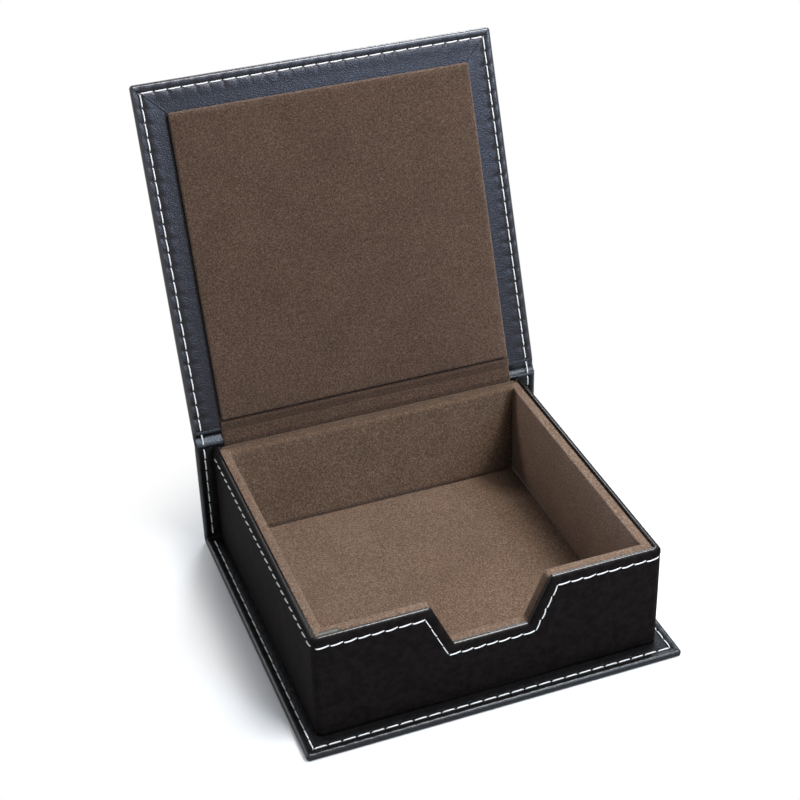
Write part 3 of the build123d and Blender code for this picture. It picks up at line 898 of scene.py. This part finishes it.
# Painted light and shade on the pad's colour, as its point attribute: a highlight along its top
# edge and its right edge, lighter towards its right and its lower end, and painted shade on its
# other sides.
painted_top_highlight = bell(pad_y + pad_half_length - 0.2 * mm, 0.5)
painted_side_highlight = bell(pad_half - 0.2 * mm - pad_x, 0.5)
painted_side_shade = np.clip(pad_sunk / (0.4 * mm) - 1, 0, 1) * (1 - painted_top_highlight)
painted_light_slope = 0.2 * np.clip(pad_x / pad_half, 0, 1) ** 2 + 0.16 * np.clip(pad_y / pad_half, 0, 1)
pad_painted_light = np.maximum(1.6 * painted_top_highlight, painted_side_highlight) + painted_light_slope - 1.2 * painted_side_shade
lid_pad = add_piece("lid_pad", points, quads(*points.shape[:2])[:, ::-1], pad_velvet,
                    velvet_wall, pad_painted_light)
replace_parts(lid_pad, "lid_pad_velvet")
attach(lid_pad, "lid")


# ---------------------------------------------------------------- velvet of the hinge
# A strip of the same velvet lines the hinge between the back of the tray and the pad. It is glued
# to the bending leather, and shows two faint creases across it where it has folded.
strip_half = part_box("hinge_lining")[1].x
strip_rows = 60
strip_line = smooth_curve(
    strip_rows, near((spine_face, lining_top), (-0.3, -0.8)),
    near((spine_face, rim), (-0.55, 0.5), (-0.45, 1.7), (0.2, 2.9), (0.85, 4.2), (1.2, 5.3)),
    near_lid_edge(case_thick, (0.6, 1.2), (1.7, 1.3), (2.3, 0.9), (2.8, 0.35), (3.8, 0.3)))
cut_edge = 0.4 * mm                               # width over which the strip's edge goes down
strip_x = np.concatenate([[-strip_half, 0.1 * mm - strip_half],
                          np.linspace(cut_edge - strip_half, strip_half - cut_edge, 90),
                          [strip_half - 0.1 * mm, strip_half]])
edge_sink = np.interp(np.abs(strip_x), [strip_half - cut_edge, strip_half], [0, 0.45 * mm])
strip_y, level = strip_line.T[..., None]
creases = (0.22 * mm * bell(level - rim - 4.75 * mm, 0.35)
           + 0.12 * mm * bell(level - rim - 6.3 * mm, 0.4))
ripple = 1 + 0.3 * np.sin(strip_x / (7 * mm))
points = np.stack(np.broadcast_arrays(strip_x, strip_y + creases * ripple + 0.9 * edge_sink,
                                      level - 0.2 * edge_sink), -1)
# The strip takes the pad's darker copy of the velvet: painted shade.
hinge_cloth = add_piece("hinge_velvet", points, quads(*points.shape[:2]), pad_velvet,
                        0.25 * mm)
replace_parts(hinge_cloth, "hinge_lining")
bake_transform(hinge_cloth)


# ---------------------------------------------------------------- thread
# Off-white twisted thread goes through leather and board from side to side, and shows as short
# dashes. Each comes up out of its hole, lies in the groove that it has pulled, and dives again.
thread, tree, surface, _ = finish("white_thread")
plies, twists = 3, 0.9                            # strands, and turns per thread width
lay = add_node(tree, "SeparateXYZ", {0: add_node(tree, "UVMap", {}, uv_map="lay").outputs["UV"]})
turns = calculated(tree, "MULTIPLY", lay.outputs["X"], 2 * math.pi * twists)
wave = calculated(tree, "SINE", calculated(tree, "MULTIPLY_ADD", lay.outputs["Y"],
                                           2 * math.pi * plies, turns))
twist = add_node(tree, "MapRange", {"Value": wave, "From Min": -1.0}).outputs["Result"]
feed(surface, {
    "Base Color": ramp(tree, twist, [(0.0, (0.62, 0.62, 0.62)), (0.5, (0.85, 0.85, 0.84))]),
    "Normal": bump(tree, twist, 0.08 * mm, 0.6), "Roughness": 0.6, "Sheen Weight": 0.2})

thread_width = 0.47 * mm
dash_rings, dash_sides = 13, 8
ring_gap = 0.9                                    # from ring to ring, in about thread widths


def dashes(start, end, normal, pitch=case_pitch, hook=0.1, girth=1.0, sunk=0.0, share=0.89,
           blunt=8, slant=0.0):
    """Rings of a row of dashes from start to end, lying on a face with that normal: one set per
    dash, which fills a share of each pitch and is girth times as thick as the thread. It comes out
    to the right of the row, sags and crosses over to its left at the end: hook is how far, and
    slant is how far it crosses evenly, in millimetres. sunk is how deep its middle line lies under
    the face, and a high blunt keeps its ends up for longer."""
    start, end, normal = (np.asarray(item, float) for item in (start, end, normal))
    length = np.linalg.norm(end - start)
    count = max(1, round(length / pitch))
    step = length / count
    ahead = (end - start) / length
    up = normal / np.linalg.norm(normal)
    side = np.cross(ahead, up)
    t = np.linspace(0, 1, dash_rings)
    number = np.arange(count)[:, None]
    uneven = 1 + 0.25 * np.sin(number * 2.1 + length / mm)
    along = (number + 0.5 + (t - 0.5) * share * (1 + 0.03 * np.sin(number * 3.7))) * step
    sideways = (hook * uneven * (0.35 + 1.3 * t - 2.25 * t ** 2.2) + slant * (0.5 - t)) * mm
    height = -sunk - 0.34 * mm * np.abs(2 * t - 1) ** blunt + 0 * number
    centre = (start + along[..., None] * ahead + sideways[..., None] * side
              + height[..., None] * up)
    radius = thread_width / 2 * girth * (1 - 0.4 * np.abs(2 * t - 1) ** 6)
    angle = np.arange(dash_sides) * 2 * math.pi / dash_sides
    ring = np.cos(angle)[:, None] * up + np.sin(angle)[:, None] * side
    return centre[:, :, None] + radius[None, :, None, None] * ring


def thread_piece(name, rows, node):
    """All dashes of several rows as one mesh, in place of a node. A UV map gives the length in
    about thread widths and the share of the way round, for the twist."""
    rings = np.concatenate(rows)
    each = dash_rings * dash_sides
    tube = quads(dash_rings, dash_sides, True)[:, ::-1]
    first = np.arange(dash_sides)
    ends = np.stack([first, first[::-1] + each - dash_sides])
    starts = np.arange(len(rings))[:, None, None] * each
    piece = add_piece(name, rings, [(starts + tube).reshape(-1, 4),
                                    (starts + ends).reshape(-1, dash_sides)], thread)
    row, column = np.divmod(quads(dash_rings, dash_sides + 1)[:, ::-1], dash_sides + 1)
    tube_uv = np.stack([row * ring_gap, column / dash_sides], -1).reshape(-1, 2)
    end_uv = np.zeros((2 * dash_sides, 2))
    layer = piece.data.uv_layers.new(name="lay")
    layer.data.foreach_set("uv", np.concatenate([np.tile(tube_uv, (len(rings), 1)),
                                                 np.tile(end_uv, (len(rings), 1))]).ravel())
    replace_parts(piece, node)
    return piece


row_x = half_width - case_inset


def frame_rows(y_near, y_far, level, up):
    """Three rows round a face: from the far end along the left, the near end and the right."""
    corners = [(-row_x, y_far, level), (-row_x, y_near, level), (row_x, y_near, level),
               (row_x, y_far, level)]
    return [dashes(start, end, (0, 0, up)) for start, end in zip(corners, corners[1:])]


under_level = 0.42 * mm                           # above the table, in the pressed groove
base_rows = [row for level, up in ((case_thick, 1), (under_level, -1))
             for row in frame_rows(front + case_inset, spine_face - case_inset / 2, level, up)]
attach(thread_piece("base_thread", base_rows, "base_stitching"), "case")

spine_rows = [dashes((x, y, spine_row), (x, y, rim), (0, way, 0))
              for x in (-row_x, row_x) for y, way in ((spine_face, -1), (back, 1))]
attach(thread_piece("spine_thread", spine_rows, "spine_stitching"), "case")

lid_rows = [turned(row, lean) for level, up in ((lid_under, -1), (lid_top, 1))
            for row in frame_rows(lid_front + case_inset, lid_back, level, up)]
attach(thread_piece("lid_thread", lid_rows, "lid_stitching"), "lid")

bent_rows = [dashes((x, *low), (x, *high), (0, way * (high[1] - low[1]), way * (low[0] - high[0])))
             for x in (-row_x, row_x) for low, high, way in (
                 (inner_line[2], inner_line[-3], -1), (outer_line[1], outer_line[-2], 1))]
hinge_thread = thread_piece("hinge_thread", bent_rows, "hinge_stitching")
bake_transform(hinge_thread)

tray_level = rim - rim_inset
row_line = moved_left(notched(0, tray_half, rim, notch_depth, notch_floor, notch_top), -rim_inset)
row_line[0, 0] += tray_corner / 2
row_line[-1, 0] -= tray_corner / 2
side_near, side_far = tray_front + tray_corner / 2, tray_back - tray_corner
side_look = {"pitch": tray_pitch, "hook": 0.45, "girth": 1.4, "sunk": -0.24 * mm, "share": 0.98,
             "blunt": 16, "slant": 0.75}
front_looks = [(0.6, 1.3), (0.15, 0.85), (0.6, 1.3), (0.5, 1.15), (0.6, 1.3)]   # hook and girth
tray_rows = [dashes((-tray_half, side_far, tray_level), (-tray_half, side_near, tray_level),
                    (-1, 0, 0), **side_look)]
for low, high, look in zip(row_line, row_line[1:], front_looks):
    tray_rows.append(dashes((low[0], tray_front, low[1]), (high[0], tray_front, high[1]),
                            (0, -1, 0), tray_pitch, *look, -0.16 * mm, 1.06, 18))
tray_rows.append(dashes((tray_half, side_near, tray_level), (tray_half, side_far, tray_level),
                        (1, 0, 0), **side_look))
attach(thread_piece("tray_thread", tray_rows, "tray_stitching"), "case")
